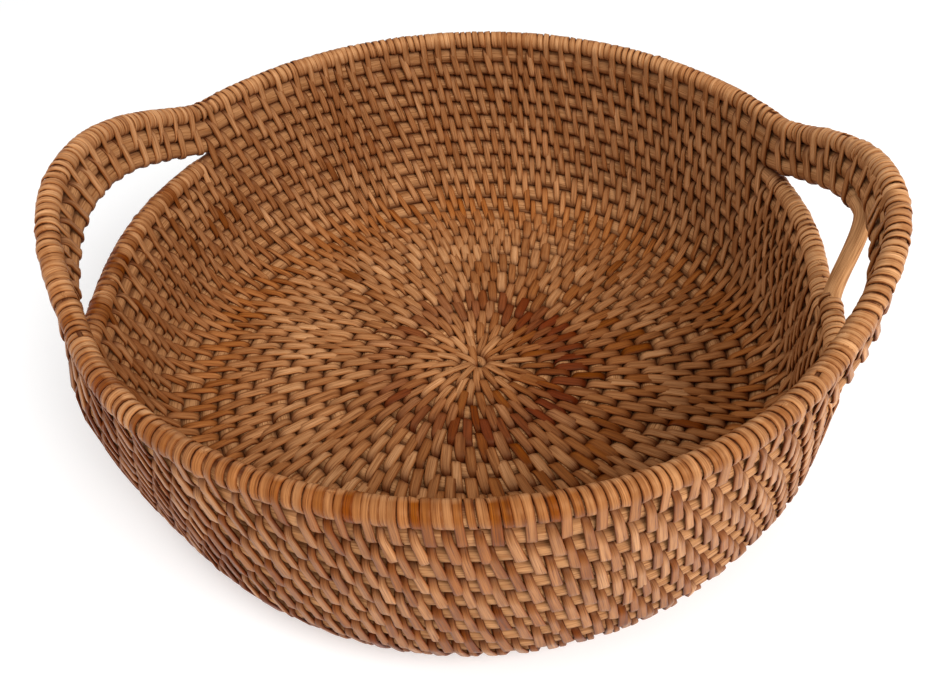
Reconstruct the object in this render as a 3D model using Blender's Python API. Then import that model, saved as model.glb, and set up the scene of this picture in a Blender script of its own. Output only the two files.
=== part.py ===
"""Round coiled rattan basket with two raised loop handles, built as the real one is.

A round core rod spirals out from the centre of the base, turns up a rounded corner and
climbs the wall row by row.  Inside the right-hand finger gap the rod leaves the lower rim,
crosses the gap bare, and becomes the lowest of the three coils that form the top band.
The band runs round the basket and rises over both finger gaps as the handles.  The last
turn is the rim; it thins out over the row below where it ends.  Wrapped bindings cover the
rim, the handles and the lower rims.  The split-cane stitches that lash each row to the next
are too many to be solids here.

Units are metres, +Z is up, the handles are at +X and -X, and the basket rests on z = 0.
"""

import math

import bpy
from mathutils import Vector

# Driving dimensions
RIM_RADIUS = 0.145            # centre line of the rim coil
CORE_RADIUS = 0.0033          # radius of the rattan core rod
CORNER_RADIUS = 0.0245        # rounding between base and wall
WALL_LENGTH = 0.069           # straight part of the wall, up to the rim's centre line
WALL_LEAN = math.radians(2.5)
ROWS = 28.5                   # coil rows from the centre of the base to the rim
BASE_OFFSET = 0.0027          # the base's centre lies a little to the right of the rim's
RIM_WAVE = 0.001              # the rim dips this much at the sides and rises it front and back
RIM_TILT = 0.0007             # and it stands this much higher in front, lower at the back
RIM_OVAL = 0.00125            # the rim is drawn in this much at the sides, out front and back
BELLY = 0.0008                # swell of the wall halfway up, all round
BELLY_BACK = 0.0025           # more of it at the back, less in front
BELLY_OVAL = 0.0036           # less of it at the sides
SWELL_START = 14.5            # row above which the wall swells below a handle's front foot
SWELL_WIDTH = math.radians(12)
LEFT_SWELL = 0.0092
LEFT_SWELL_ANGLE = math.radians(215)
RIGHT_SWELL = 0.0045
RIGHT_SWELL_ANGLE = math.radians(-25)
LEFT_DRAW = -0.0012           # how far the lower rim is pulled in under each handle
RIGHT_DRAW = 0.0037
DRAW_START = 17               # row above which it is

HANDLE_RISE = 0.0185          # lift of the top band over the finger gaps
HANDLE_BULGE = 0.006          # outward push of the band there
HANDLE_HALF_SPAN = math.radians(31.5)
HANDLE_SKEW = math.radians(5)  # both handles sit this far towards the front
HANDLE_SHOULDER = 2.2         # higher is squarer
HANDLE_FOOT = 1.55            # higher is softer where the handle leaves the rim

STEP_SPAN = 0.1               # fraction of a turn over which a wall row steps up to the next
CROSSING_TURN = 26            # turn at which the rod crosses the right-hand gap
CROSSING_SPAN = 0.034         # fraction of a turn that the crossing takes
LAST_TURN = CROSSING_TURN + 3
THINNEST_END = 0.0008         # radius at which the rim's thinned end is cut

WRAP_GAP = 0.0006             # clearance between a rod and the binding round it
WRAP_THICKNESS = 0.0013
WRAP_SLOT = math.radians(80)  # open underside of a binding, over the row below
PIECE_GAP = 0.0006            # clearance where two pieces meet end to end
END_STEP = 1 / 256            # fraction of a turn over which a piece's end is straight

BODY_SIDES = 6
STRAND_COLOUR = (0.42, 0.22, 0.09, 1.0)
CORE_COLOUR = (0.55, 0.33, 0.16, 1.0)

# Values worked out from them
BASE_RADIUS = RIM_RADIUS - CORNER_RADIUS * math.cos(WALL_LEAN) - WALL_LENGTH * math.sin(WALL_LEAN)
CORNER_ANGLE = math.pi / 2 - WALL_LEAN
CORNER_END = BASE_RADIUS + CORNER_RADIUS * CORNER_ANGLE
PITCH = (CORNER_END + WALL_LENGTH) / ROWS
RIM_HEIGHT = CORNER_RADIUS * (1 - math.cos(CORNER_ANGLE)) + WALL_LENGTH * math.cos(WALL_LEAN)


def smooth(value):
    """Ease from 0 to 1."""
    value = min(max(value, 0.0), 1.0)
    return value * value * (3 - 2 * value)


def row_level(turn):
    """Row that the rod is on: an even spiral in the base, level rows with a step in the wall."""
    nearest = math.floor(turn + 0.5)
    stepped = nearest - 0.5 + smooth((turn - nearest) / STEP_SPAN + 0.5)
    return turn + (stepped - turn) * smooth((turn - 10) / 10)


def section(distance):
    """Radius and height above the base's centre line, at a distance along the half section."""
    if distance < BASE_RADIUS:
        return distance, 0.0
    if distance < CORNER_END:
        angle = (distance - BASE_RADIUS) / CORNER_RADIUS
        return BASE_RADIUS + CORNER_RADIUS * math.sin(angle), CORNER_RADIUS * (1 - math.cos(angle))
    up = distance - CORNER_END
    radius = BASE_RADIUS + CORNER_RADIUS * math.sin(CORNER_ANGLE) + up * math.sin(WALL_LEAN)
    height = CORNER_RADIUS * (1 - math.cos(CORNER_ANGLE)) + up * math.cos(WALL_LEAN)
    return radius, height


def over_gap(turn):
    """Share of a handle's full lift at this angle: 0 at its feet, 1 in the middle."""
    right = math.remainder(turn, 1.0) * math.tau
    left = math.remainder(turn * math.tau - math.pi - 2 * HANDLE_SKEW, math.tau)
    offset = min(abs(right), abs(left)) / HANDLE_HALF_SPAN
    return (1 - min(offset, 1.0) ** HANDLE_SHOULDER) ** HANDLE_FOOT


def in_band(turn):
    """0 on the rod below the crossing, 1 on the top band."""
    return smooth((turn - CROSSING_TURN) / CROSSING_SPAN + 0.5)


def swell(angle, level):
    """Outward swell of the wall below the handles' front feet."""
    left = math.remainder(angle - LEFT_SWELL_ANGLE, math.tau) / SWELL_WIDTH
    right = math.remainder(angle - RIGHT_SWELL_ANGLE, math.tau) / SWELL_WIDTH
    height = smooth((level - SWELL_START) / 8) * smooth((ROWS - level) / 4)
    return height * (LEFT_SWELL * math.exp(-left ** 2) + RIGHT_SWELL * math.exp(-right ** 2))


def belly(angle, up):
    """How far the wall lies outside a true round and straight one."""
    middle = BELLY + BELLY_BACK * math.sin(angle) - BELLY_OVAL * math.cos(2 * angle)
    return 4 * up * (1 - up) * middle - RIM_OVAL * up ** 2 * math.cos(2 * angle)


def rod_point(turn, level=None):
    """Centre of the core rod after a number of turns."""
    angle = turn * math.tau - HANDLE_SKEW
    level = row_level(turn) if level is None else level
    radius, height = section(PITCH * level)
    up = height / RIM_HEIGHT
    share = over_gap(turn) * in_band(turn)
    draw = RIGHT_DRAW if math.cos(angle) > 0 else LEFT_DRAW
    draw *= over_gap(turn) * (1 - in_band(turn)) * smooth((level - DRAW_START) / 8)
    radius += belly(angle, up) + swell(angle, level) + HANDLE_BULGE * share - draw
    z = CORE_RADIUS * math.cos(math.pi / BODY_SIDES) + height + HANDLE_RISE * share
    z -= up * (RIM_WAVE * math.cos(2 * angle) + RIM_TILT * math.sin(angle))
    return Vector((radius * math.cos(angle) + BASE_OFFSET * (1 - up), radius * math.sin(angle), z))


def rim_end(turn):
    """Centre and radius of the rim's last stretch, which thins out above the stepping row."""
    full = LAST_TURN - 0.5
    room = full - row_level(turn - 1)
    radius = (room * PITCH - (PITCH - 2 * CORE_RADIUS)) / 2
    level = full + (CORE_RADIUS - radius) / PITCH
    return rod_point(turn, level), radius


def turns_between(start, end):
    """Turn values for a rod's points: finer where it bends more, and square at both ends."""
    square = min(END_STEP, (end - start) / 8)
    values = [start, start + square]
    turn = start + square
    while True:
        near_handle = abs(math.remainder(turn, 0.5)) < 0.12
        steps = 16 if turn < 6 else 32
        if turn > CROSSING_TURN - 1.5:
            steps = 128 if near_handle and turn > CROSSING_TURN - 0.1 else 64
        if CROSSING_TURN - CROSSING_SPAN < turn < CROSSING_TURN + CROSSING_SPAN:
            steps = 256
        turn = (math.floor(turn * steps + 1e-6) + 1) / steps
        if turn > end - square - 0.3 / steps:
            break
        values.append(turn)
    return values + [end - square, end]


def shortened(start, end):
    """The same stretch of rod, cut back by half the end clearance at each end."""
    turn_length = math.tau * max(rod_point(start).xy.length, 0.01)
    cut = PIECE_GAP / 2 / turn_length
    return start + cut, end - cut


# Objects
def clear_scene():
    for existing in list(bpy.data.objects):
        bpy.data.objects.remove(existing, do_unlink=True)


def new_collection(name):
    collection = bpy.data.collections.new(name)
    bpy.context.scene.collection.children.link(collection)
    return collection


def new_material(name, colour, roughness):
    material = bpy.data.materials.new(name)
    material.use_nodes = True
    shader = material.node_tree.nodes["Principled BSDF"]
    shader.inputs["Base Color"].default_value = colour
    shader.inputs["Roughness"].default_value = roughness
    shader.inputs["Metallic"].default_value = 0.0
    return material


def new_curve(name, points, radii):
    """A poly curve through the points, with a radius factor at each."""
    data = bpy.data.curves.new(name, "CURVE")
    data.dimensions = "3D"
    data.twist_mode = "Z_UP"
    spline = data.splines.new("POLY")
    spline.points.add(len(points) - 1)
    for spot, place, radius in zip(spline.points, points, radii):
        spot.co = (*place, 1.0)
        spot.radius = radius
    data.use_fill_caps = True
    return data


def place(name, data, material, collection):
    data.materials.append(material)
    item = bpy.data.objects.new(name, data)
    collection.objects.link(item)
    return item


def add_rod(name, points, radii, material, collection):
    """A length of core rod, with one flat of its six-sided section facing down."""
    data = new_curve(name, points, [radius / CORE_RADIUS for radius in radii])
    data.bevel_depth = CORE_RADIUS
    data.bevel_resolution = 1
    return place(name, data, material, collection)


def wrap_outline(guides):
    """The open ring section that a binding follows: slotted over the row below."""
    inner = CORE_RADIUS + WRAP_GAP
    outer = inner + WRAP_THICKNESS
    half = math.pi - WRAP_SLOT / 2
    angles = [half * (2 * step / 6 - 1) for step in range(7)]
    ring = [(outer * math.sin(a), outer * math.cos(a)) for a in angles]
    ring += [(inner * math.sin(a), inner * math.cos(a)) for a in reversed(angles)]
    data = bpy.data.curves.new("wrap_outline", "CURVE")
    data.dimensions = "2D"
    spline = data.splines.new("POLY")
    spline.points.add(len(ring) - 1)
    for spot, (across, up) in zip(spline.points, ring):
        spot.co = (across, up, 0, 1)
    spline.use_cyclic_u = True
    outline = bpy.data.objects.new("wrap_outline", data)
    outline.hide_render = True
    outline.display_type = "WIRE"
    guides.objects.link(outline)
    return outline


def add_binding(name, start, end, outline, material, collection):
    """A wrapped binding over the rod from one turn to another."""
    start, end = shortened(start, end)
    points = [rod_point(turn) for turn in turns_between(start, end)]
    data = new_curve(name, points, [1.0] * len(points))
    data.bevel_mode = "OBJECT"
    data.bevel_object = outline
    return place(name, data, material, collection)


def build_cores(material, collection):
    """The core rod, in the lengths that it is spliced from."""
    crossing_start = CROSSING_TURN - 0.7 * CROSSING_SPAN
    crossing_end = CROSSING_TURN + 0.7 * CROSSING_SPAN
    lengths = [
        ("centre_coil", 0.45, 5), ("base_coil_inner", 5, 8), ("base_coil_middle", 8, 10.5),
        ("base_coil_outer", 10.5, 12.75), ("foot_coil", 12.75, 15), ("corner_coil_lower", 15, 17),
        ("corner_coil_upper", 17, 19), ("wall_coil_1", 19, 20.5), ("wall_coil_2", 20.5, 22),
        ("wall_coil_3", 22, 23.25), ("wall_coil_4", 23.25, 24.5), ("lower_rim_coil", 24.5, crossing_start),
        ("crossing_rod", crossing_start, crossing_end), ("band_lower_coil", crossing_end, 27),
        ("band_middle_coil", 27, 28)]
    for name, start, end in lengths:
        start, end = shortened(start, end)
        points = [rod_point(turn) for turn in turns_between(start, end)]
        add_rod(name, points, [CORE_RADIUS] * len(points), material, collection)


def build_rim(material, collection):
    """The last turn, whose end thins out."""
    start, end = shortened(LAST_TURN - 1, LAST_TURN + STEP_SPAN / 2)
    points = []
    radii = []
    for turn in turns_between(start, end):
        centre = rod_point(turn)
        radius = CORE_RADIUS
        if turn > LAST_TURN - STEP_SPAN / 2:
            centre, radius = rim_end(turn)
        if radius < THINNEST_END:
            break
        points.append(centre)
        radii.append(radius)
    add_rod("rim_coil", points, radii, material, collection)


def main():
    clear_scene()
    basket = new_collection("rattan_basket")
    guides = new_collection("guides")
    core = new_material("core_rod", CORE_COLOUR, 0.6)
    strand = new_material("split_cane", STRAND_COLOUR, 0.5)
    build_cores(core, basket)
    build_rim(core, basket)
    outline = wrap_outline(guides)
    reach = 1.08 * HANDLE_HALF_SPAN / math.tau
    left = 0.5 + 2 * HANDLE_SKEW / math.tau
    taper = STEP_SPAN / 2
    top = LAST_TURN - 1
    bindings = [
        ("right_handle_back_binding", top + taper, top + reach),
        ("back_rim_binding", top + reach, top + left - reach),
        ("left_handle_binding", top + left - reach, top + left + reach),
        ("front_rim_binding", top + left + reach, top + 1 - reach),
        ("right_handle_front_binding", top + 1 - reach, top + 1 - taper)]
    lower = CROSSING_TURN
    gap = 0.8 * reach
    bindings += [
        ("left_gap_binding", lower - 1 + left - gap, lower - 1 + left + gap),
        ("right_gap_front_binding", lower - gap, lower - 0.6 * CROSSING_SPAN),
        ("right_gap_back_binding", lower - 1 + CROSSING_SPAN, lower - 1 + gap)]
    for name, start, end in bindings:
        add_binding(name, start, end, outline, strand, basket)


main()
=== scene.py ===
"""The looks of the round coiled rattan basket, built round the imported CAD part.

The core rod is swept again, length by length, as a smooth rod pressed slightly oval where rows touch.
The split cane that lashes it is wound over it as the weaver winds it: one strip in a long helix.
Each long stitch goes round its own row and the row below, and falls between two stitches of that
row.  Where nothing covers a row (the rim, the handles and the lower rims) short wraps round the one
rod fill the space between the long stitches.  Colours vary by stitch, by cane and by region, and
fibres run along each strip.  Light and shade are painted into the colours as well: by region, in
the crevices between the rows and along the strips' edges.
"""

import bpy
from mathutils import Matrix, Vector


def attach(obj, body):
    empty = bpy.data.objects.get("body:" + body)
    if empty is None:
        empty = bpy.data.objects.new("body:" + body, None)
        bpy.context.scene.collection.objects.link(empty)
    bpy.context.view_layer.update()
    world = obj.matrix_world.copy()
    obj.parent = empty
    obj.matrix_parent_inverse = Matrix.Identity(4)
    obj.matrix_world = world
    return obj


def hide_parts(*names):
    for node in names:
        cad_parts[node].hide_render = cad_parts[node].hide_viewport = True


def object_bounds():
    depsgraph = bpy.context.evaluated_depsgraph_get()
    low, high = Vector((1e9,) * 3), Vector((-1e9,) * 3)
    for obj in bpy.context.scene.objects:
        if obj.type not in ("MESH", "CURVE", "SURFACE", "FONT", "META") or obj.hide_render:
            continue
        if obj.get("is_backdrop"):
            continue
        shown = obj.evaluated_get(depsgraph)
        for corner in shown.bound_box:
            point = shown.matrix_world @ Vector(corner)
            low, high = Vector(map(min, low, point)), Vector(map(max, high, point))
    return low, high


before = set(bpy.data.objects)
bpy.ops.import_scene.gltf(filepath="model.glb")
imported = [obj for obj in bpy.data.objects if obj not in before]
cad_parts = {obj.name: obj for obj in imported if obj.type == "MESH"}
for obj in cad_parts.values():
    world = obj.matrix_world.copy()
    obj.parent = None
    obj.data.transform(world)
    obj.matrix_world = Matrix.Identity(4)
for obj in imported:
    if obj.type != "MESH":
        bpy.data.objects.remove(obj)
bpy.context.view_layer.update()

import math

import bpy
import numpy as np
from mathutils import Matrix, Vector

# The coil's path, as in the CAD part
RIM_RADIUS = 0.145
CORE_RADIUS = 0.0033
CORNER_RADIUS = 0.0245
WALL_LENGTH = 0.069
WALL_LEAN = math.radians(2.5)
ROWS = 28.5
BASE_OFFSET = 0.0027
RIM_WAVE = 0.001
RIM_TILT = 0.0007
RIM_OVAL = 0.00125
BELLY = 0.0008
BELLY_BACK = 0.0025
BELLY_OVAL = 0.0036
SWELL_START = 14.5
SWELL_WIDTH = math.radians(12)
LEFT_SWELL = 0.0092
LEFT_SWELL_ANGLE = math.radians(215)
RIGHT_SWELL = 0.0045
RIGHT_SWELL_ANGLE = math.radians(-25)
LEFT_DRAW = -0.0012
RIGHT_DRAW = 0.0037
DRAW_START = 17
HANDLE_RISE = 0.0185
HANDLE_BULGE = 0.006
HANDLE_HALF_SPAN = math.radians(31.5)
HANDLE_SKEW = math.radians(5)
HANDLE_SHOULDER = 2.2
HANDLE_FOOT = 1.55
STEP_SPAN = 0.1
CROSSING_TURN = 26
CROSSING_SPAN = 0.034
LAST_TURN = CROSSING_TURN + 3
FIRST_TURN = 0.1
THINNEST_END = 0.0008
CORE_DROP = CORE_RADIUS * math.cos(math.pi / 6)
SPIRAL_END = 10               # turn after which the even spiral gives way to level rows
LEVELLING = 10                # turns over which it does

BASE_RADIUS = RIM_RADIUS - CORNER_RADIUS * math.cos(WALL_LEAN) - WALL_LENGTH * math.sin(WALL_LEAN)
CORNER_ANGLE = math.pi / 2 - WALL_LEAN
CORNER_END = BASE_RADIUS + CORNER_RADIUS * CORNER_ANGLE
PITCH = (CORNER_END + WALL_LENGTH) / ROWS
RIM_HEIGHT = CORNER_RADIUS * (1 - math.cos(CORNER_ANGLE)) + WALL_LENGTH * math.cos(WALL_LEAN)
RIM_LEVEL = LAST_TURN - 0.5

# The split cane
SPACING = 0.0092              # along the rod, from one long stitch to the next
SPACING_JITTER = 0.0006
BASE_END = 14                 # turn up to which the stitches are as in the base
BASE_JITTER = 1.8 * SPACING_JITTER
BASE_STAGGER = 0.6            # where a stitch falls between two stitches of the row below, in the base
WALL_STAGGER = 0.5
BASE_SLACK = 0.3              # share by which the base's stitches advance faster in the crevices
FIRST_STITCH = 0.6            # turn at which the first stitch starts
FIRST_STITCHES = 8            # stitches in the turn after it
PARTED = 1.15                 # span in rows beyond which a stitch can't reach the row below
CENTRE_SHARE = 0.68           # spacing and width at the base's centre, as a share of the full ones
CANE_THICKNESS = 0.0009
WRAP_THICKNESS = 0.0006       # of the thinner cane round the rim, the handles and the lower rims
WALL_CANE_WIDTH = 0.0033
BASE_CANE_WIDTH = 0.0046
WRAP_CANE_WIDTH = 0.0031
FLATTEST_ROD = 0.0058         # half the height of the rod where it is pressed flattest
ROD_SQUEEZE = 1.06            # height of a pressed rod, as a share of the space between the rows
SHORT_WRAPS = 2               # between two long stitches where the rod shows
LONG_SAMPLES = 28             # points along one long stitch
SHORT_SAMPLES = 16
CANE_LENGTH = 24              # stitches made with one length of cane, on average
LOOSE_POINTS = 4              # points over which a loose end narrows
LOOSE_WIDTH = 0.35            # share of the width at the very end
TURN_SHARE = 0.06             # share of a stitch over which the outside passes to the inside
DIVE_SHARE = 0.1              # share of a stitch over which its values pass to the next one's
CANE_SHIFT = 3.7              # shift of the fibre pattern from one cane to the next

# The strip's width along one stitch: round the top, down outside, under, and up inside
WIDTH_STATIONS = (0.0, 0.1, 0.28, 0.4, 0.5, 0.6, 0.75, 0.9, 1.0)
WIDTH_SHARES = (0.8, 0.84, 0.98, 1.1, 0.9, 1.0, 1.02, 0.96, 0.8)

RANDOM = np.random.default_rng(7)


# The coil's path
def smooth(value):
    """Ease from 0 to 1."""
    value = np.clip(value, 0.0, 1.0)
    return value * value * (3 - 2 * value)


def row_level(turn):
    """Row that the rod is on: an even spiral in the base, level rows with a step in the wall."""
    nearest = np.floor(turn + 0.5)
    stepped = nearest - 0.5 + smooth((turn - nearest) / STEP_SPAN + 0.5)
    return turn + (stepped - turn) * smooth((turn - SPIRAL_END) / LEVELLING)


def section(distance):
    """Radius and height above the base's centre line, at a distance along the half section."""
    angle = np.clip((distance - BASE_RADIUS) / CORNER_RADIUS, 0, CORNER_ANGLE)
    wall = np.maximum(distance - CORNER_END, 0)
    radius = np.minimum(distance, BASE_RADIUS) + CORNER_RADIUS * np.sin(angle) + wall * math.sin(WALL_LEAN)
    height = CORNER_RADIUS * (1 - np.cos(angle)) + wall * math.cos(WALL_LEAN)
    return radius, height


def from_handle(turn):
    """Turns to the nearest handle's centre."""
    right = turn - np.round(turn)
    left = turn - 0.5 - 2 * HANDLE_SKEW / math.tau
    left = left - np.round(left)
    return np.minimum(np.abs(right), np.abs(left))


def over_gap(turn):
    """Share of a handle's full lift at this angle: 0 at its feet, 1 in the middle."""
    offset = np.minimum(from_handle(turn) * math.tau / HANDLE_HALF_SPAN, 1)
    return (1 - offset ** HANDLE_SHOULDER) ** HANDLE_FOOT


def in_band(turn):
    """0 on the rod below the crossing, 1 on the top band."""
    return smooth((turn - CROSSING_TURN) / CROSSING_SPAN + 0.5)


def swell(angle, level):
    """Outward swell of the wall below the handles' front feet."""
    left = np.remainder(angle - LEFT_SWELL_ANGLE + math.pi, math.tau) - math.pi
    right = np.remainder(angle - RIGHT_SWELL_ANGLE + math.pi, math.tau) - math.pi
    height = smooth((level - SWELL_START) / 8) * smooth((ROWS - level) / 4)
    left = LEFT_SWELL * np.exp(-(left / SWELL_WIDTH) ** 2)
    return height * (left + RIGHT_SWELL * np.exp(-(right / SWELL_WIDTH) ** 2))


def belly(angle, up):
    """How far the wall lies outside a true round and straight one."""
    middle = BELLY + BELLY_BACK * np.sin(angle) - BELLY_OVAL * np.cos(2 * angle)
    return 4 * up * (1 - up) * middle - RIM_OVAL * up ** 2 * np.cos(2 * angle)


def rod_points(turn, level=None):
    """Centres of the core rod after a number of turns."""
    angle = turn * math.tau - HANDLE_SKEW
    level = row_level(turn) if level is None else level
    radius, height = section(PITCH * level)
    up = height / RIM_HEIGHT
    share = over_gap(turn) * in_band(turn)
    draw = np.where(np.cos(angle) > 0, RIGHT_DRAW, LEFT_DRAW)
    draw = draw * over_gap(turn) * (1 - in_band(turn)) * smooth((level - DRAW_START) / 8)
    radius = radius + belly(angle, up) + swell(angle, level) + HANDLE_BULGE * share - draw
    x = radius * np.cos(angle) + BASE_OFFSET * (1 - up)
    z = CORE_DROP + height + HANDLE_RISE * share
    z = z - up * (RIM_WAVE * np.cos(2 * angle) + RIM_TILT * np.sin(angle))
    return np.stack([x, radius * np.sin(angle), z], axis=-1)


def unit(vectors):
    return vectors / np.maximum(np.linalg.norm(vectors, axis=-1, keepdims=True), 1e-9)


def lengths_along(points):
    """Distance from the first point to each point, along the line through them."""
    return np.concatenate([[0], np.cumsum(np.linalg.norm(np.diff(points, axis=0), axis=1))])


def coil_frame(turn):
    """At each turn: the rod's centre, the distance down to the row below, and along, up and out."""
    own = rod_points(turn, np.minimum(row_level(turn), RIM_LEVEL))
    below = rod_points(turn - 1, np.maximum(row_level(turn - 1), 0))
    step = 2e-4
    along = unit(rod_points(turn + step) - rod_points(turn - step))
    across = own - below
    up = across - np.sum(across * along, axis=-1, keepdims=True) * along
    span = np.linalg.norm(up, axis=-1)
    # at the rim's thinned end the two rows meet, and up is taken from the row's own place instead
    lean = rod_points(turn, RIM_LEVEL) - rod_points(turn, RIM_LEVEL - 1)
    up = np.where((span < PITCH / 2)[..., None] & (turn > SPIRAL_END)[..., None], lean, up)
    up = unit(up)
    return own, span, along, up, np.cross(along, up)


# Where the stitches go
def centre_share(turn):
    """Share of the full spacing and width: the cane is finer near the centre of the base."""
    return CENTRE_SHARE + (1 - CENTRE_SHARE) * smooth(turn / 8)


def stitch_turns():
    """Turns at which the long stitches start: each between two stitches of the row below."""
    turns = list(np.linspace(FIRST_STITCH, FIRST_STITCH + 1, FIRST_STITCHES + 1)[:-1])
    carry = 0.0
    index = 0
    while turns[-1] < LAST_TURN + 0.1:
        start = turns[index] + 1
        length = turns[index + 1] + 1 - start
        turn_length = math.tau * PITCH * start
        if start > SPIRAL_END:
            turn_length = math.tau * float(section(PITCH * row_level(start))[0])
        arc = length * turn_length / (SPACING * centre_share(start))
        count = max(1, round(arc + carry))
        carry = min(max(carry + arc - count, -0.5), 0.5)
        stagger = BASE_STAGGER if start < BASE_END else WALL_STAGGER
        unevenness = SPACING_JITTER if start > BASE_END else BASE_JITTER
        for step in range(count):
            jitter = RANDOM.normal(0, unevenness) / turn_length
            turns.append(start + (step + stagger) / count * length + jitter)
        index += 1
    return np.array(turns)


LEFT_HANDLE = 0.5 + 2 * HANDLE_SKEW / math.tau
REACH = 1.08 * HANDLE_HALF_SPAN / math.tau     # from a handle's middle to the end of its wraps
GAP_REACH = 0.8 * REACH                        # and to the end of those in the gap below it
TOP = LAST_TURN - 1           # turn at which the rod becomes the rim
RIM_START = TOP + 0.045       # the rim's wraps start inside the right handle
RIM_END = LAST_TURN + 0.048   # and end there a turn later, over their own start
LOWER_RIM = CROSSING_TURN - 1
CROSSING_START = CROSSING_TURN - 0.5 * CROSSING_SPAN

# Stretches where short wraps fill the space between the long stitches
TIGHT = [
    (LOWER_RIM - 0.4 * CROSSING_SPAN, LOWER_RIM + GAP_REACH),
    (LOWER_RIM + LEFT_HANDLE - GAP_REACH, LOWER_RIM + LEFT_HANDLE + GAP_REACH),
    (CROSSING_TURN - GAP_REACH, CROSSING_START),
    (TOP - 0.005, RIM_END)]


class Winding:
    """Every stitch in the order it is wound: where it starts, whether it takes in the row below.

    long is True where it does, False for a short wrap, and None where no cane covers the rod.
    """

    def __init__(self):
        starts = stitch_turns()
        starts = starts[starts < RIM_END]
        spans = coil_frame(starts)[1]
        self.start = []
        self.long = []
        for index, start in enumerate(starts[:-1]):
            in_tight = any(low <= start < high for low, high in TIGHT)
            over_crossing = abs(start - 1 - CROSSING_TURN) < 0.5 * CROSSING_SPAN
            has_row_below = start > FIRST_TURN + 1 and not over_crossing
            widest = max(spans[index], spans[index + 1])
            parted = LOWER_RIM < start < LAST_TURN - 2 and widest > PARTED * PITCH
            if parted or CROSSING_START < start < CROSSING_TURN + CROSSING_SPAN:
                self.add(start, None)
                continue
            self.add(start, has_row_below)
            if in_tight:
                for wrap in range(SHORT_WRAPS):
                    share = (wrap + 1) / (SHORT_WRAPS + 1)
                    self.add(start + share * (starts[index + 1] - start), False)
        self.start = np.array(self.start)
        self.count = len(self.start) - 1
        self.make_canes()

    def add(self, start, long_stitch):
        self.start.append(start)
        self.long.append(long_stitch)

    def make_canes(self):
        """Tone, width, lift and roll of each stitch; one cane serves a couple of dozen stitches."""
        size = self.count + 1
        self.cane = np.cumsum(RANDOM.random(size) < 1 / CANE_LENGTH)
        tones = RANDOM.normal(0, 1, self.cane[-1] + 1)
        reds = RANDOM.normal(0, 1, self.cane[-1] + 1)
        self.tone = 0.6 * tones[self.cane] + RANDOM.normal(0, 0.8, size)
        self.red = 0.7 * reds[self.cane] + RANDOM.normal(0, 0.6, size)
        self.width = 1 + RANDOM.normal(0, 0.08, size)
        self.lift = np.abs(RANDOM.normal(0, 0.00012, size))
        self.roll = RANDOM.normal(0, math.radians(6), size)


winding = Winding()


# Colour by region, with painted light and shade
def colour(red, green, blue):
    """Linear colour from the usual 0 to 255 values."""
    values = np.array([red, green, blue]) / 255
    return np.where(values <= 0.04045, values / 12.92, ((values + 0.055) / 1.055) ** 2.4)


LIGHT_CANE = colour(205, 152, 104)
BROWN_CANE = colour(132, 75, 30)
RED_CANE = colour(108, 42, 8)
ORANGE_CANE = colour(168, 98, 38)
# colour of the painted shade in the crevices between the rows
CREVICE_SHADE_COLOUR = colour(74, 16, 0)
CORE_LIGHT = colour(200, 148, 100)
EDGE_TONES = np.array([0.65, 1.1, 1.7])        # the strips' painted edge shade turns redder as it turns darker
STRIP_CREVICE_SHADE = 0.94                           # how far painted shade darkens the strips between the rows
ROD_CREVICE_SHADE = 0.92                             # and the rod
OPEN_CREVICE_SHADE_WIDTH = 0.11                      # of the painted shade at a stitch's top, as a share of it
UNDER_CREVICE_SHADE_WIDTH = 0.08                     # and of the one underneath
ROD_LIGHTNESS = 0.6                            # share of the bare rod's own colour in its mix

# Turn of each patch of colour along the rod, and its width in turns; the gap patches are painted light and
# shade
RED_RING = (5.8, 1.0)
ORANGE_CORNER = (16.2, 1.6)
RIGHT_GAP_BACK = (25.03, 0.09)
RIGHT_GAP_FRONT = (25.96, 0.05)
LEFT_GAP = (25.53, 0.09)


def bell(value, centre, width):
    return np.exp(-((value - centre) / width) ** 2)


def region_colour(turn, inside, tone, red):
    """Colour of the cane at a turn, on the inside or the outside, for a stitch's tone and redness, with
    light and shade painted in by region.
    """
    angle = turn * math.tau - HANDLE_SKEW
    leftness = -np.cos(angle)
    on_base = 1 - smooth((turn - BASE_END) / 2)
    on_wall = smooth((turn - 16) / 2)
    in_band_row = smooth((turn - CROSSING_TURN) / 1.5)
    frontness = smooth(-np.sin(angle))
    # painted light and shade: the base is lighter at the left and darker in front, in the front wall's
    # shadow
    light = 0.55 + on_base * (0.2 * leftness - 0.15 * frontness)
    # painted light and shade: the wall is lighter at the right, inside and outside, and darker outside at
    # the left
    light = light + on_wall * inside * 0.18 * smooth(-1.5 * leftness)
    light = light - on_wall * (1 - inside) * (0.1 + 0.25 * leftness)
    # painted light and shade: the left handle is light; the lower rim is light in the right-hand gap, dark
    # in the left-hand one
    light = light + 0.3 * in_band_row * smooth(leftness * 3 - 2)
    below_right = bell(turn, *RIGHT_GAP_BACK) + bell(turn, *RIGHT_GAP_FRONT)
    below_left = bell(turn, *LEFT_GAP)
    light = light + 0.35 * below_right - 0.15 * below_left
    # painted shade: the front of the wall is darker, by half as much inside
    light = light - 0.22 * on_wall * frontness * (1 - 0.5 * inside)
    uneven = 0.2 + 0.25 * below_left
    light = np.clip(light + uneven * tone, -0.15, 1.15)[:, None]
    # a stained ring in the base, and a reddish left wall
    reddish = (1.15 - 0.35 * leftness) * bell(turn, *RED_RING) * inside
    reddish = reddish + inside * on_wall * smooth(leftness * 2) * 0.12
    reddish = np.clip(reddish * (1 + 0.2 * red) + 0.05 * red, 0, 1)[:, None]
    orange = inside * bell(turn, *ORANGE_CORNER) * 0.6 + 0.12 + 0.1 * red
    orange = np.clip(orange, 0, 1)[:, None]
    mixed = BROWN_CANE + (LIGHT_CANE - BROWN_CANE) * light
    mixed = mixed + (ORANGE_CANE - mixed) * orange
    return mixed + (RED_CANE - mixed) * reddish


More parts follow.
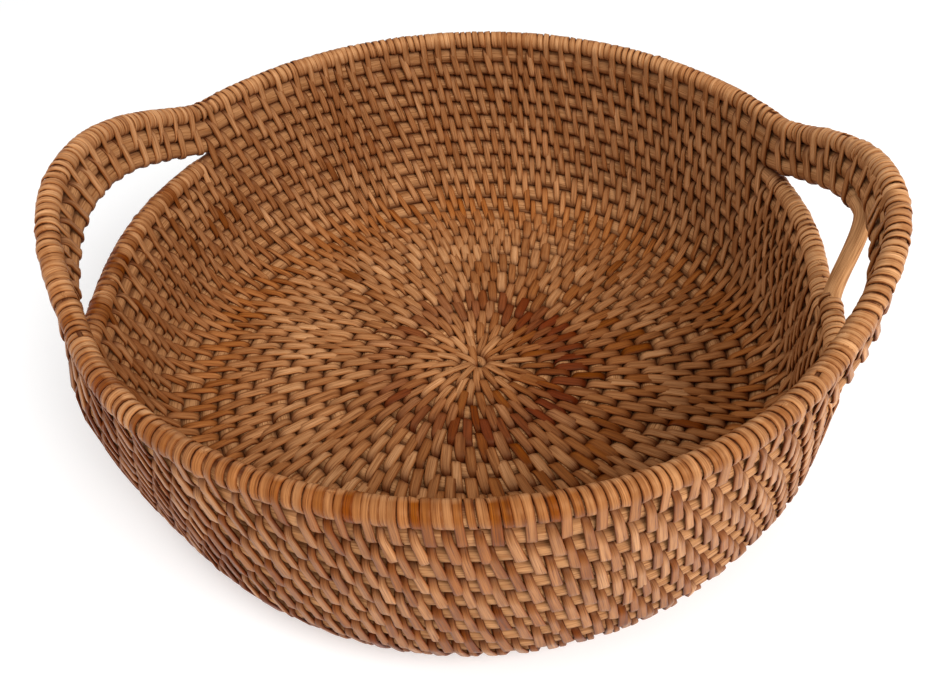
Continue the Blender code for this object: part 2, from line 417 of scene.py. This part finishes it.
# Meshes
def make_mesh(name, points, quads, tint, fibre):
    mesh = bpy.data.meshes.new(name)
    mesh.vertices.add(len(points))
    mesh.vertices.foreach_set("co", points.astype(np.float32).ravel())
    mesh.loops.add(quads.size)
    mesh.loops.foreach_set("vertex_index", quads.astype(np.int32).ravel())
    mesh.polygons.add(len(quads))
    mesh.polygons.foreach_set("loop_start", np.arange(0, quads.size, 4, dtype=np.int32))
    mesh.update(calc_edges=True)
    mesh.shade_smooth()
    layer = mesh.attributes.new("tint", "FLOAT_COLOR", "POINT")
    tint = np.column_stack([tint, np.ones(len(tint))])
    layer.data.foreach_set("color", tint.astype(np.float32).ravel())
    layer = mesh.attributes.new("fibre", "FLOAT_VECTOR", "POINT")
    layer.data.foreach_set("vector", fibre.astype(np.float32).ravel())
    return mesh


def swept_quads(rings, sides, first):
    """Faces of a closed tube of quads, caps included, from its first vertex on."""
    ring = np.arange(rings - 1)[:, None] * sides
    side = np.arange(sides)[None, :]
    following = (side + 1) % sides
    next_ring = ring + sides
    walls = np.stack([ring + side, ring + following, next_ring + following, next_ring + side], axis=-1)
    walls = walls.reshape(-1, 4)
    half = np.arange(sides // 2 - 1)
    cap = np.stack([half, sides - 1 - half, sides - 2 - half, half + 1], axis=-1)
    last = cap[:, ::-1] + (rings - 1) * sides
    return np.concatenate([walls, cap, last]) + first


class Piece:
    """Gathers swept tubes into one mesh."""

    def __init__(self, name):
        self.name = name
        self.parts = []
        self.size = 0

    def sweep(self, centres, side, out, outline, tint, fibre):
        """outline, tint and fibre hold a row for each ring; outline is (rings, sides, 2)."""
        rings, sides = outline.shape[:2]
        points = centres[:, None] + outline[..., :1] * side[:, None] + outline[..., 1:] * out[:, None]
        quads = swept_quads(rings, sides, self.size)
        self.parts.append((points.reshape(-1, 3), quads, tint.reshape(-1, 3), fibre.reshape(-1, 3)))
        self.size += rings * sides

    def finish(self, material, replaced):
        points, quads, tint, fibre = (np.concatenate(group) for group in zip(*self.parts))
        mesh = make_mesh(self.name, points, quads, tint, fibre)
        mesh.materials.append(material)
        item = bpy.data.objects.new(self.name, mesh)
        bpy.context.scene.collection.objects.link(item)
        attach(item, "root")
        if replaced:
            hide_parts(*replaced)


# One strip of cane through a run of stitches
STRIP_ACROSS = np.array([-1.0, -0.86, -0.45, 0.45, 0.86, 1.0, 0.9, -0.9])
STRIP_OUT = np.array([0.0, 0.4, 0.5, 0.5, 0.4, 0.0, -0.5, -0.5])
# painted shade across the strip's outline: dark edges and underside, a little lighter crown
STRIP_SHADE = np.array([0.25, 0.66, 1.06, 1.06, 0.66, 0.25, 0.15, 0.15])


def loose(index):
    """Whether the cane breaks off here, rather than running on into the next piece."""
    return index < 0 or winding.long[min(index, winding.count)] is None


def wind_strip(piece, first, last):
    """Winds one strip through the stitches first to last - 1 of the winding."""
    turn = []
    around = []
    station = []
    reach = []
    for index in range(first, last):
        steps = LONG_SAMPLES if winding.long[index] else SHORT_SAMPLES
        share = np.arange(steps) / steps
        slack = BASE_SLACK if winding.start[index] < BASE_END else 0.0
        drift = share + slack / (4 * math.pi) * np.sin(4 * math.pi * share)
        width = winding.start[index + 1] - winding.start[index]
        turn.append(winding.start[index] + drift * width)
        around.append(share)
        station.append(np.full(steps, index))
        reach.append(np.full(steps, 1.0 if winding.long[index] else 0.0))
    turn = np.concatenate(turn)
    around = np.concatenate(around)
    station = np.concatenate(station)

    own, span, _, up, out = coil_frame(turn)
    span = span * np.concatenate(reach)
    thickness = np.where(winding_is_tight(turn), WRAP_THICKNESS, CANE_THICKNESS)
    rho = CORE_RADIUS + thickness / 2 + blend(winding.lift, station, around)
    quarter = math.pi / 2 * rho
    path = around * (4 * quarter + 2 * span)
    angle = np.clip(path, 0, quarter) + np.clip(path - quarter - span, 0, 2 * quarter)
    angle = (angle + np.clip(path - 3 * quarter - 2 * span, 0, quarter)) / rho
    drop = np.clip(path - quarter, 0, span) - np.clip(path - 3 * quarter - span, 0, span)
    outward = np.cos(angle)[:, None] * up + np.sin(angle)[:, None] * out
    centres = own - drop[:, None] * up + rho[:, None] * outward

    forward = unit(np.gradient(centres, axis=0))
    side = unit(np.cross(forward, outward))
    outward = np.cross(side, forward)
    roll = blend(winding.roll, station, around)[:, None]
    side, outward = (
        side * np.cos(roll) + outward * np.sin(roll),
        outward * np.cos(roll) - side * np.sin(roll))

    base_width = BASE_CANE_WIDTH + (WALL_CANE_WIDTH - BASE_CANE_WIDTH) * smooth((turn - 13) / 4)
    base_width = base_width * centre_share(turn)
    shape = np.interp(around, WIDTH_STATIONS, WIDTH_SHARES)
    base_width = np.where(winding_is_tight(turn), WRAP_CANE_WIDTH, base_width)
    shape = np.where(winding_is_tight(turn), 0.5 + 0.5 * shape, shape)
    half = base_width / 2 * shape * blend(winding.width, station, around)
    steps = np.arange(len(turn))
    from_start = steps if loose(first - 1) else steps + LOOSE_POINTS
    from_end = steps[::-1] if loose(last) else steps[::-1] + LOOSE_POINTS
    nearest_end = np.minimum(from_start, from_end)
    half = half * (LOOSE_WIDTH + (1 - LOOSE_WIDTH) * smooth(nearest_end / LOOSE_POINTS))
    outline = np.stack([STRIP_ACROSS * half[:, None], STRIP_OUT * thickness[:, None]], -1)

    fibre = np.zeros(outline.shape[:2] + (3,))
    fibre[..., 0] = lengths_along(centres)[:, None]
    fibre[..., 1] = outline[..., 0]
    fibre[..., 2] = winding.cane[station][:, None] * CANE_SHIFT

    inside = smooth((around - 0.5) / TURN_SHARE)
    inside = inside * (1 - smooth((around - (1 - TURN_SHARE)) / TURN_SHARE))
    tone = blend(winding.tone, station, around)
    red = blend(winding.red, station, around)
    tint = region_colour(turn, inside, tone, red)
    # painted shade where the strip dives between the rows: at a stitch's top, unless the rod is wrapped
    # tight there, and underneath
    top_open = np.where(winding_is_tight(turn), 0.0, 1.0)
    crevice_shade = top_open * (bell(around, 0, OPEN_CREVICE_SHADE_WIDTH) + bell(around, 1, OPEN_CREVICE_SHADE_WIDTH))
    crevice_shade = crevice_shade + bell(around, 0.5, UNDER_CREVICE_SHADE_WIDTH)
    crevice_shade = np.clip(crevice_shade, 0, 1)[:, None]
    tint = tint + (CREVICE_SHADE_COLOUR - tint) * STRIP_CREVICE_SHADE * crevice_shade
    # painted shade: the strip darker and redder along its edges and underneath, a little lighter on its
    # crown
    tint = tint[:, None] * STRIP_SHADE[None, :, None] ** EDGE_TONES
    piece.sweep(centres, side, outward, outline, tint, fibre)


def winding_is_tight(turn):
    return np.any([(turn >= low) & (turn < high) for low, high in TIGHT], axis=0)


def blend(values, station, around):
    """Each stitch's own value, passing to the next one's as the strip dives between the rows."""
    following = np.minimum(station + 1, len(values) - 1)
    passed = smooth((around - (1 - DIVE_SHARE)) / DIVE_SHARE)
    return values[station] + (values[following] - values[station]) * passed


def wind_between(name, low, high, material, replaced=()):
    """One piece with every stitch that starts between two turns, broken where the cane is."""
    piece = Piece(name)
    inside = [index for index in range(winding.count) if low <= winding.start[index] < high]
    run_start = None
    for index in inside + [None]:
        if index is not None and winding.long[index] is not None:
            run_start = index if run_start is None else run_start
            continue
        if run_start is not None:
            stop = index if index is not None else inside[-1] + 1
            wind_strip(piece, run_start, stop)
        run_start = None
    piece.finish(material, replaced)


# The core rod
ROD_SIDES = 12
ROD_STEPS = 128


def sweep_rod(name, start, end, material, node):
    """One length of core rod; the rim's last stretch thins out over the row that steps up."""
    piece = Piece(name)
    turn = np.linspace(start, end, max(int((end - start) * ROD_STEPS), 24))
    level = row_level(turn)
    radius = np.full(len(turn), CORE_RADIUS)
    thinning = turn > LAST_TURN - STEP_SPAN / 2
    rows_left = RIM_LEVEL - row_level(turn - 1)
    thin = (rows_left * PITCH - (PITCH - 2 * CORE_RADIUS)) / 2
    radius = np.where(thinning, thin, radius)
    level = np.where(thinning, RIM_LEVEL + (CORE_RADIUS - radius) / PITCH, level)
    keep = radius > THINNEST_END
    turn, level, radius = turn[keep], level[keep], radius[keep]
    centres = rod_points(turn, level)
    _, to_below, _, up, out = coil_frame(turn)
    around = np.arange(ROD_SIDES) / ROD_SIDES * math.tau
    circle = np.stack([np.sin(around), np.cos(around)], axis=-1)
    outline = circle[None] * radius[:, None, None]
    covered = 1 - smooth(2 - np.abs(turn - CROSSING_TURN) / CROSSING_SPAN)
    pressed = smooth((RIM_LEVEL - 0.5 - level) * 4) * covered
    to_above = coil_frame(np.minimum(turn + 1, LAST_TURN))[1]
    has_gap_near = (turn > CROSSING_TURN - 2) & (turn < CROSSING_TURN + 1)
    pressed_room = ROD_SQUEEZE * np.maximum(to_below, to_above)
    room = np.where(has_gap_near, np.minimum(to_below, to_above), pressed_room)
    room = np.where(turn > CROSSING_TURN + 1, 2 * (to_above - CORE_RADIUS), room)
    half_height = np.clip(room / 2, CORE_RADIUS, FLATTEST_ROD)
    outline[..., 1] *= 1 + (half_height / CORE_RADIUS - 1)[:, None] * pressed[:, None]
    fibre = np.zeros(outline.shape[:2] + (3,))
    fibre[..., 0] = lengths_along(centres)[:, None]
    fibre[..., 1] = (around * CORE_RADIUS)[None]
    plain = np.zeros(len(turn))
    tint = np.repeat(region_colour(turn, 0.0, plain, plain)[:, None], ROD_SIDES, axis=1)
    tint = (1 - ROD_LIGHTNESS) * tint + ROD_LIGHTNESS * CORE_LIGHT
    # painted shade on the rod's sides that face the rows above and below, where stitches cover it
    crevice_shade = np.abs(np.cos(around))[None, :, None] ** 2.5
    tint = tint + (CREVICE_SHADE_COLOUR - tint) * crevice_shade * ROD_CREVICE_SHADE * covered[:, None, None]
    piece.sweep(centres, out, up, outline, tint, fibre)
    piece.finish(material, [node])


# Materials
FINE_ALONG = 90.0              # frequencies of the fibres' streaks per metre along the strip
BROAD_ALONG = 45.0
BROAD_ACROSS = 0.2             # the broad patches' frequency across, as a share of the streaks'
STREAKS = ((0.28, (0.45, 0.3, 0.2)), (0.47, (0.95, 0.92, 0.88)), (0.72, (1.28, 1.3, 1.34)))
PATCHES = ((0.3, (0.68, 0.58, 0.48)), (0.52, (1.0, 1.0, 1.0)), (0.75, (1.14, 1.16, 1.2)))
CANE_SPECULAR = 0.3
CANE_SPECULAR_TINT = (1.0, 0.62, 0.34, 1.0)
BUMP_STRENGTH = 0.7
FLOOR_PAINT = (0.92, 0.92, 0.92, 1.0)
FLOOR_GLOW = 0.15


def new_material(name):
    material = bpy.data.materials.new(name)
    material.use_nodes = True
    return material, material.node_tree, material.node_tree.nodes["Principled BSDF"]


def math_node(tree, operation, first, second):
    node = tree.nodes.new("ShaderNodeMath")
    node.operation = operation
    for socket, value in zip(node.inputs, (first, second)):
        if isinstance(value, (int, float)):
            socket.default_value = value
        else:
            tree.links.new(value, socket)
    return node.outputs[0]


def stretched_noise(tree, vector, scale, detail):
    """Noise stretched along the fibres: scale holds frequencies per metre along and across."""
    stretch = tree.nodes.new("ShaderNodeVectorMath")
    stretch.operation = "MULTIPLY"
    stretch.inputs[1].default_value = (scale[0], scale[1], 1.0)
    tree.links.new(vector, stretch.inputs[0])
    noise = tree.nodes.new("ShaderNodeTexNoise")
    noise.inputs["Scale"].default_value = 1.0
    noise.inputs["Detail"].default_value = detail
    tree.links.new(stretch.outputs[0], noise.inputs["Vector"])
    return noise.outputs["Fac"]


def ramp(tree, factor, stops):
    node = tree.nodes.new("ShaderNodeValToRGB")
    elements = node.color_ramp.elements
    while len(elements) < len(stops):
        elements.new(0.5)
    for element, (place, value) in zip(elements, stops):
        element.position = place
        element.color = (value[0], value[1], value[2], 1.0)
    tree.links.new(factor, node.inputs[0])
    return node.outputs["Color"]


def times(tree, first, second):
    node = tree.nodes.new("ShaderNodeMix")
    node.data_type = "RGBA"
    node.blend_type = "MULTIPLY"
    node.inputs["Factor"].default_value = 1.0
    tree.links.new(first, node.inputs[6])
    tree.links.new(second, node.inputs[7])
    return node.outputs[2]


def cane_material(name, streak, bump_height, roughness_range):
    """Fibres along the strip, blotches over a few stitches, and a satin skin."""
    material, tree, shader = new_material(name)
    tint = tree.nodes.new("ShaderNodeAttribute")
    tint.attribute_name = "tint"
    fibre = tree.nodes.new("ShaderNodeAttribute")
    fibre.attribute_name = "fibre"
    fine = stretched_noise(tree, fibre.outputs["Vector"], (FINE_ALONG, streak), 3.0)
    broad = stretched_noise(tree, fibre.outputs["Vector"], (BROAD_ALONG, streak * BROAD_ACROSS), 2.0)
    streaks = ramp(tree, fine, STREAKS)
    patches = ramp(tree, broad, PATCHES)
    base = times(tree, times(tree, tint.outputs["Color"], streaks), patches)
    tree.links.new(base, shader.inputs["Base Color"])
    low, high = roughness_range
    roughness = math_node(tree, "MULTIPLY_ADD", fine, high - low)
    roughness.node.inputs[2].default_value = low
    tree.links.new(roughness, shader.inputs["Roughness"])
    shader.inputs["Specular IOR Level"].default_value = CANE_SPECULAR
    shader.inputs["Specular Tint"].default_value = CANE_SPECULAR_TINT
    bump = tree.nodes.new("ShaderNodeBump")
    bump.inputs["Strength"].default_value = BUMP_STRENGTH
    bump.inputs["Distance"].default_value = bump_height
    tree.links.new(fine, bump.inputs["Height"])
    tree.links.new(bump.outputs["Normal"], shader.inputs["Normal"])
    return material


def floor_material():
    material, tree, shader = new_material("floor_paint")
    shader.inputs["Base Color"].default_value = FLOOR_PAINT
    shader.inputs["Roughness"].default_value = 0.8
    shader.inputs["Emission Color"].default_value = (1.0, 1.0, 1.0, 1.0)
    shader.inputs["Emission Strength"].default_value = FLOOR_GLOW
    return material


# The basket
BAND_LOWER_END = 27

# Lengths of the rod from the base's centre on: piece, node of the CAD part, turn at its end
LENGTHS = (
    ("centre", "centre_coil", 5),
    ("base_inner", "base_coil_inner", 8),
    ("base_middle", "base_coil_middle", 10.5),
    ("base_outer", "base_coil_outer", 12.75),
    ("foot", "foot_coil", 15),
    ("corner_lower", "corner_coil_lower", 17),
    ("corner_upper", "corner_coil_upper", 19),
    ("wall_1", "wall_coil_1", 20.5),
    ("wall_2", "wall_coil_2", 22),
    ("wall_3", "wall_coil_3", 23.25),
    ("wall_4", "wall_coil_4", 24.5))


def build_rods(material):
    crossing_start = CROSSING_TURN - 0.7 * CROSSING_SPAN
    crossing_end = CROSSING_TURN + 0.7 * CROSSING_SPAN
    lengths = LENGTHS + (
        ("lower_rim", "lower_rim_coil", crossing_start),
        ("crossing", "crossing_rod", crossing_end),
        ("band_lower", "band_lower_coil", BAND_LOWER_END),
        ("band_middle", "band_middle_coil", TOP),
        ("rim", "rim_coil", LAST_TURN + STEP_SPAN / 2))
    start = FIRST_TURN
    for name, node, end in lengths:
        sweep_rod(name + "_core", start, end, material, node)
        start = end


def build_stitches(material):
    start = FIRST_TURN
    for name, _, end in LENGTHS:
        wind_between(name + "_stitches", start, end, material)
        start = end
    left = LOWER_RIM + LEFT_HANDLE
    stretches = [
        ("lower_rim_stitches_1", start, TIGHT[0][0]),
        ("lower_rim_stitches_2", LOWER_RIM + GAP_REACH, left - GAP_REACH),
        ("lower_rim_stitches_3", left + GAP_REACH, CROSSING_TURN - GAP_REACH),
        ("band_lower_stitches", CROSSING_START, BAND_LOWER_END),
        ("band_middle_stitches", BAND_LOWER_END, RIM_START)]
    for name, low, high in stretches:
        wind_between(name, low, high, material)
    wraps = [
        ("right_handle_back", RIM_START, TOP + REACH),
        ("back_rim", TOP + REACH, TOP + LEFT_HANDLE - REACH),
        ("left_handle", TOP + LEFT_HANDLE - REACH, TOP + LEFT_HANDLE + REACH),
        ("front_rim", TOP + LEFT_HANDLE + REACH, LAST_TURN - REACH),
        ("right_handle_front", LAST_TURN - REACH, RIM_END),
        ("right_gap_back", *TIGHT[0]), ("left_gap", *TIGHT[1]), ("right_gap_front", *TIGHT[2])]
    for name, low, high in wraps:
        wind_between(name + "_wrap", low, high, material, [name + "_binding"])


# Stage
FLOOR_SIZE = 6.0               # half its side
LIGHT_TARGET = (0, 0, 0.03)
WORLD_STRENGTH = 0.5
LIGHTS = (                     # name, place, size and power
    ("key", (0.85, -0.8, 1.15), 1.0, 22),
    ("fill", (-0.9, -0.3, 1.3), 1.4, 7))


def build_floor(height):
    mesh = bpy.data.meshes.new("floor")
    size = FLOOR_SIZE
    corners = [(-size, -size, 0), (size, -size, 0), (size, size, 0), (-size, size, 0)]
    mesh.from_pydata(corners, [], [(0, 1, 2, 3)])
    mesh.materials.append(floor_material())
    floor = bpy.data.objects.new("floor", mesh)
    floor.location.z = height
    bpy.context.scene.collection.objects.link(floor)
    floor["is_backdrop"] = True


def area_light(name, place, target, size, power):
    data = bpy.data.lights.new(name, "AREA")
    data.shape = "DISK"
    data.size = size
    data.energy = power
    lamp = bpy.data.objects.new(name, data)
    lamp.location = place
    lamp.rotation_euler = (Vector(target) - Vector(place)).to_track_quat("-Z", "Y").to_euler()
    bpy.context.scene.collection.objects.link(lamp)


def build_lights():
    for name, place, size, power in LIGHTS:
        area_light(name, place, LIGHT_TARGET, size, power)
    world = bpy.data.worlds.new("studio")
    world.use_nodes = True
    world.node_tree.nodes["Background"].inputs["Color"].default_value = (1.0, 1.0, 1.0, 1.0)
    world.node_tree.nodes["Background"].inputs["Strength"].default_value = WORLD_STRENGTH
    bpy.context.scene.world = world
    bpy.context.scene.view_settings.view_transform = "Standard"


CAMERA_AZIMUTH = math.radians(7.05)
CAMERA_ELEVATION = math.radians(45.1)
CAMERA_DISTANCE = 0.3737
CAMERA_YAW = -0.00839
CAMERA_PITCH = 0.02764
CAMERA_ROLL = 0.02947
LENS = 30.85


def build_camera():
    """At the photograph's angle, aimed a little off the middle of the base."""
    centre = Vector((BASE_OFFSET, 0, CORE_DROP))
    back = Vector((
        math.sin(CAMERA_AZIMUTH) * math.cos(CAMERA_ELEVATION),
        -math.cos(CAMERA_AZIMUTH) * math.cos(CAMERA_ELEVATION),
        math.sin(CAMERA_ELEVATION)))
    forward = -back
    right = forward.cross(Vector((0, 0, 1))).normalized()
    up = right.cross(forward)
    right, forward = (
        math.cos(CAMERA_YAW) * right - math.sin(CAMERA_YAW) * forward,
        math.sin(CAMERA_YAW) * right + math.cos(CAMERA_YAW) * forward)
    up, forward = (
        math.cos(CAMERA_PITCH) * up - math.sin(CAMERA_PITCH) * forward,
        math.sin(CAMERA_PITCH) * up + math.cos(CAMERA_PITCH) * forward)
    right, up = (
        math.cos(CAMERA_ROLL) * right - math.sin(CAMERA_ROLL) * up,
        math.sin(CAMERA_ROLL) * right + math.cos(CAMERA_ROLL) * up)
    data = bpy.data.cameras.new("camera")
    data.sensor_width = 36.0
    data.lens = LENS
    data.clip_start = 0.01
    camera = bpy.data.objects.new("camera", data)
    turned = Matrix((right, up, -forward)).transposed().to_4x4()
    camera.matrix_world = Matrix.Translation(centre + CAMERA_DISTANCE * back) @ turned
    bpy.context.scene.collection.objects.link(camera)
    bpy.context.scene.camera = camera


build_rods(cane_material("core_rod", 2600.0, 0.00012, (0.5, 0.75)))
build_stitches(cane_material("split_cane", 3200.0, 0.0001, (0.32, 0.62)))
build_floor(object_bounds()[0][2])
build_lights()
build_camera()
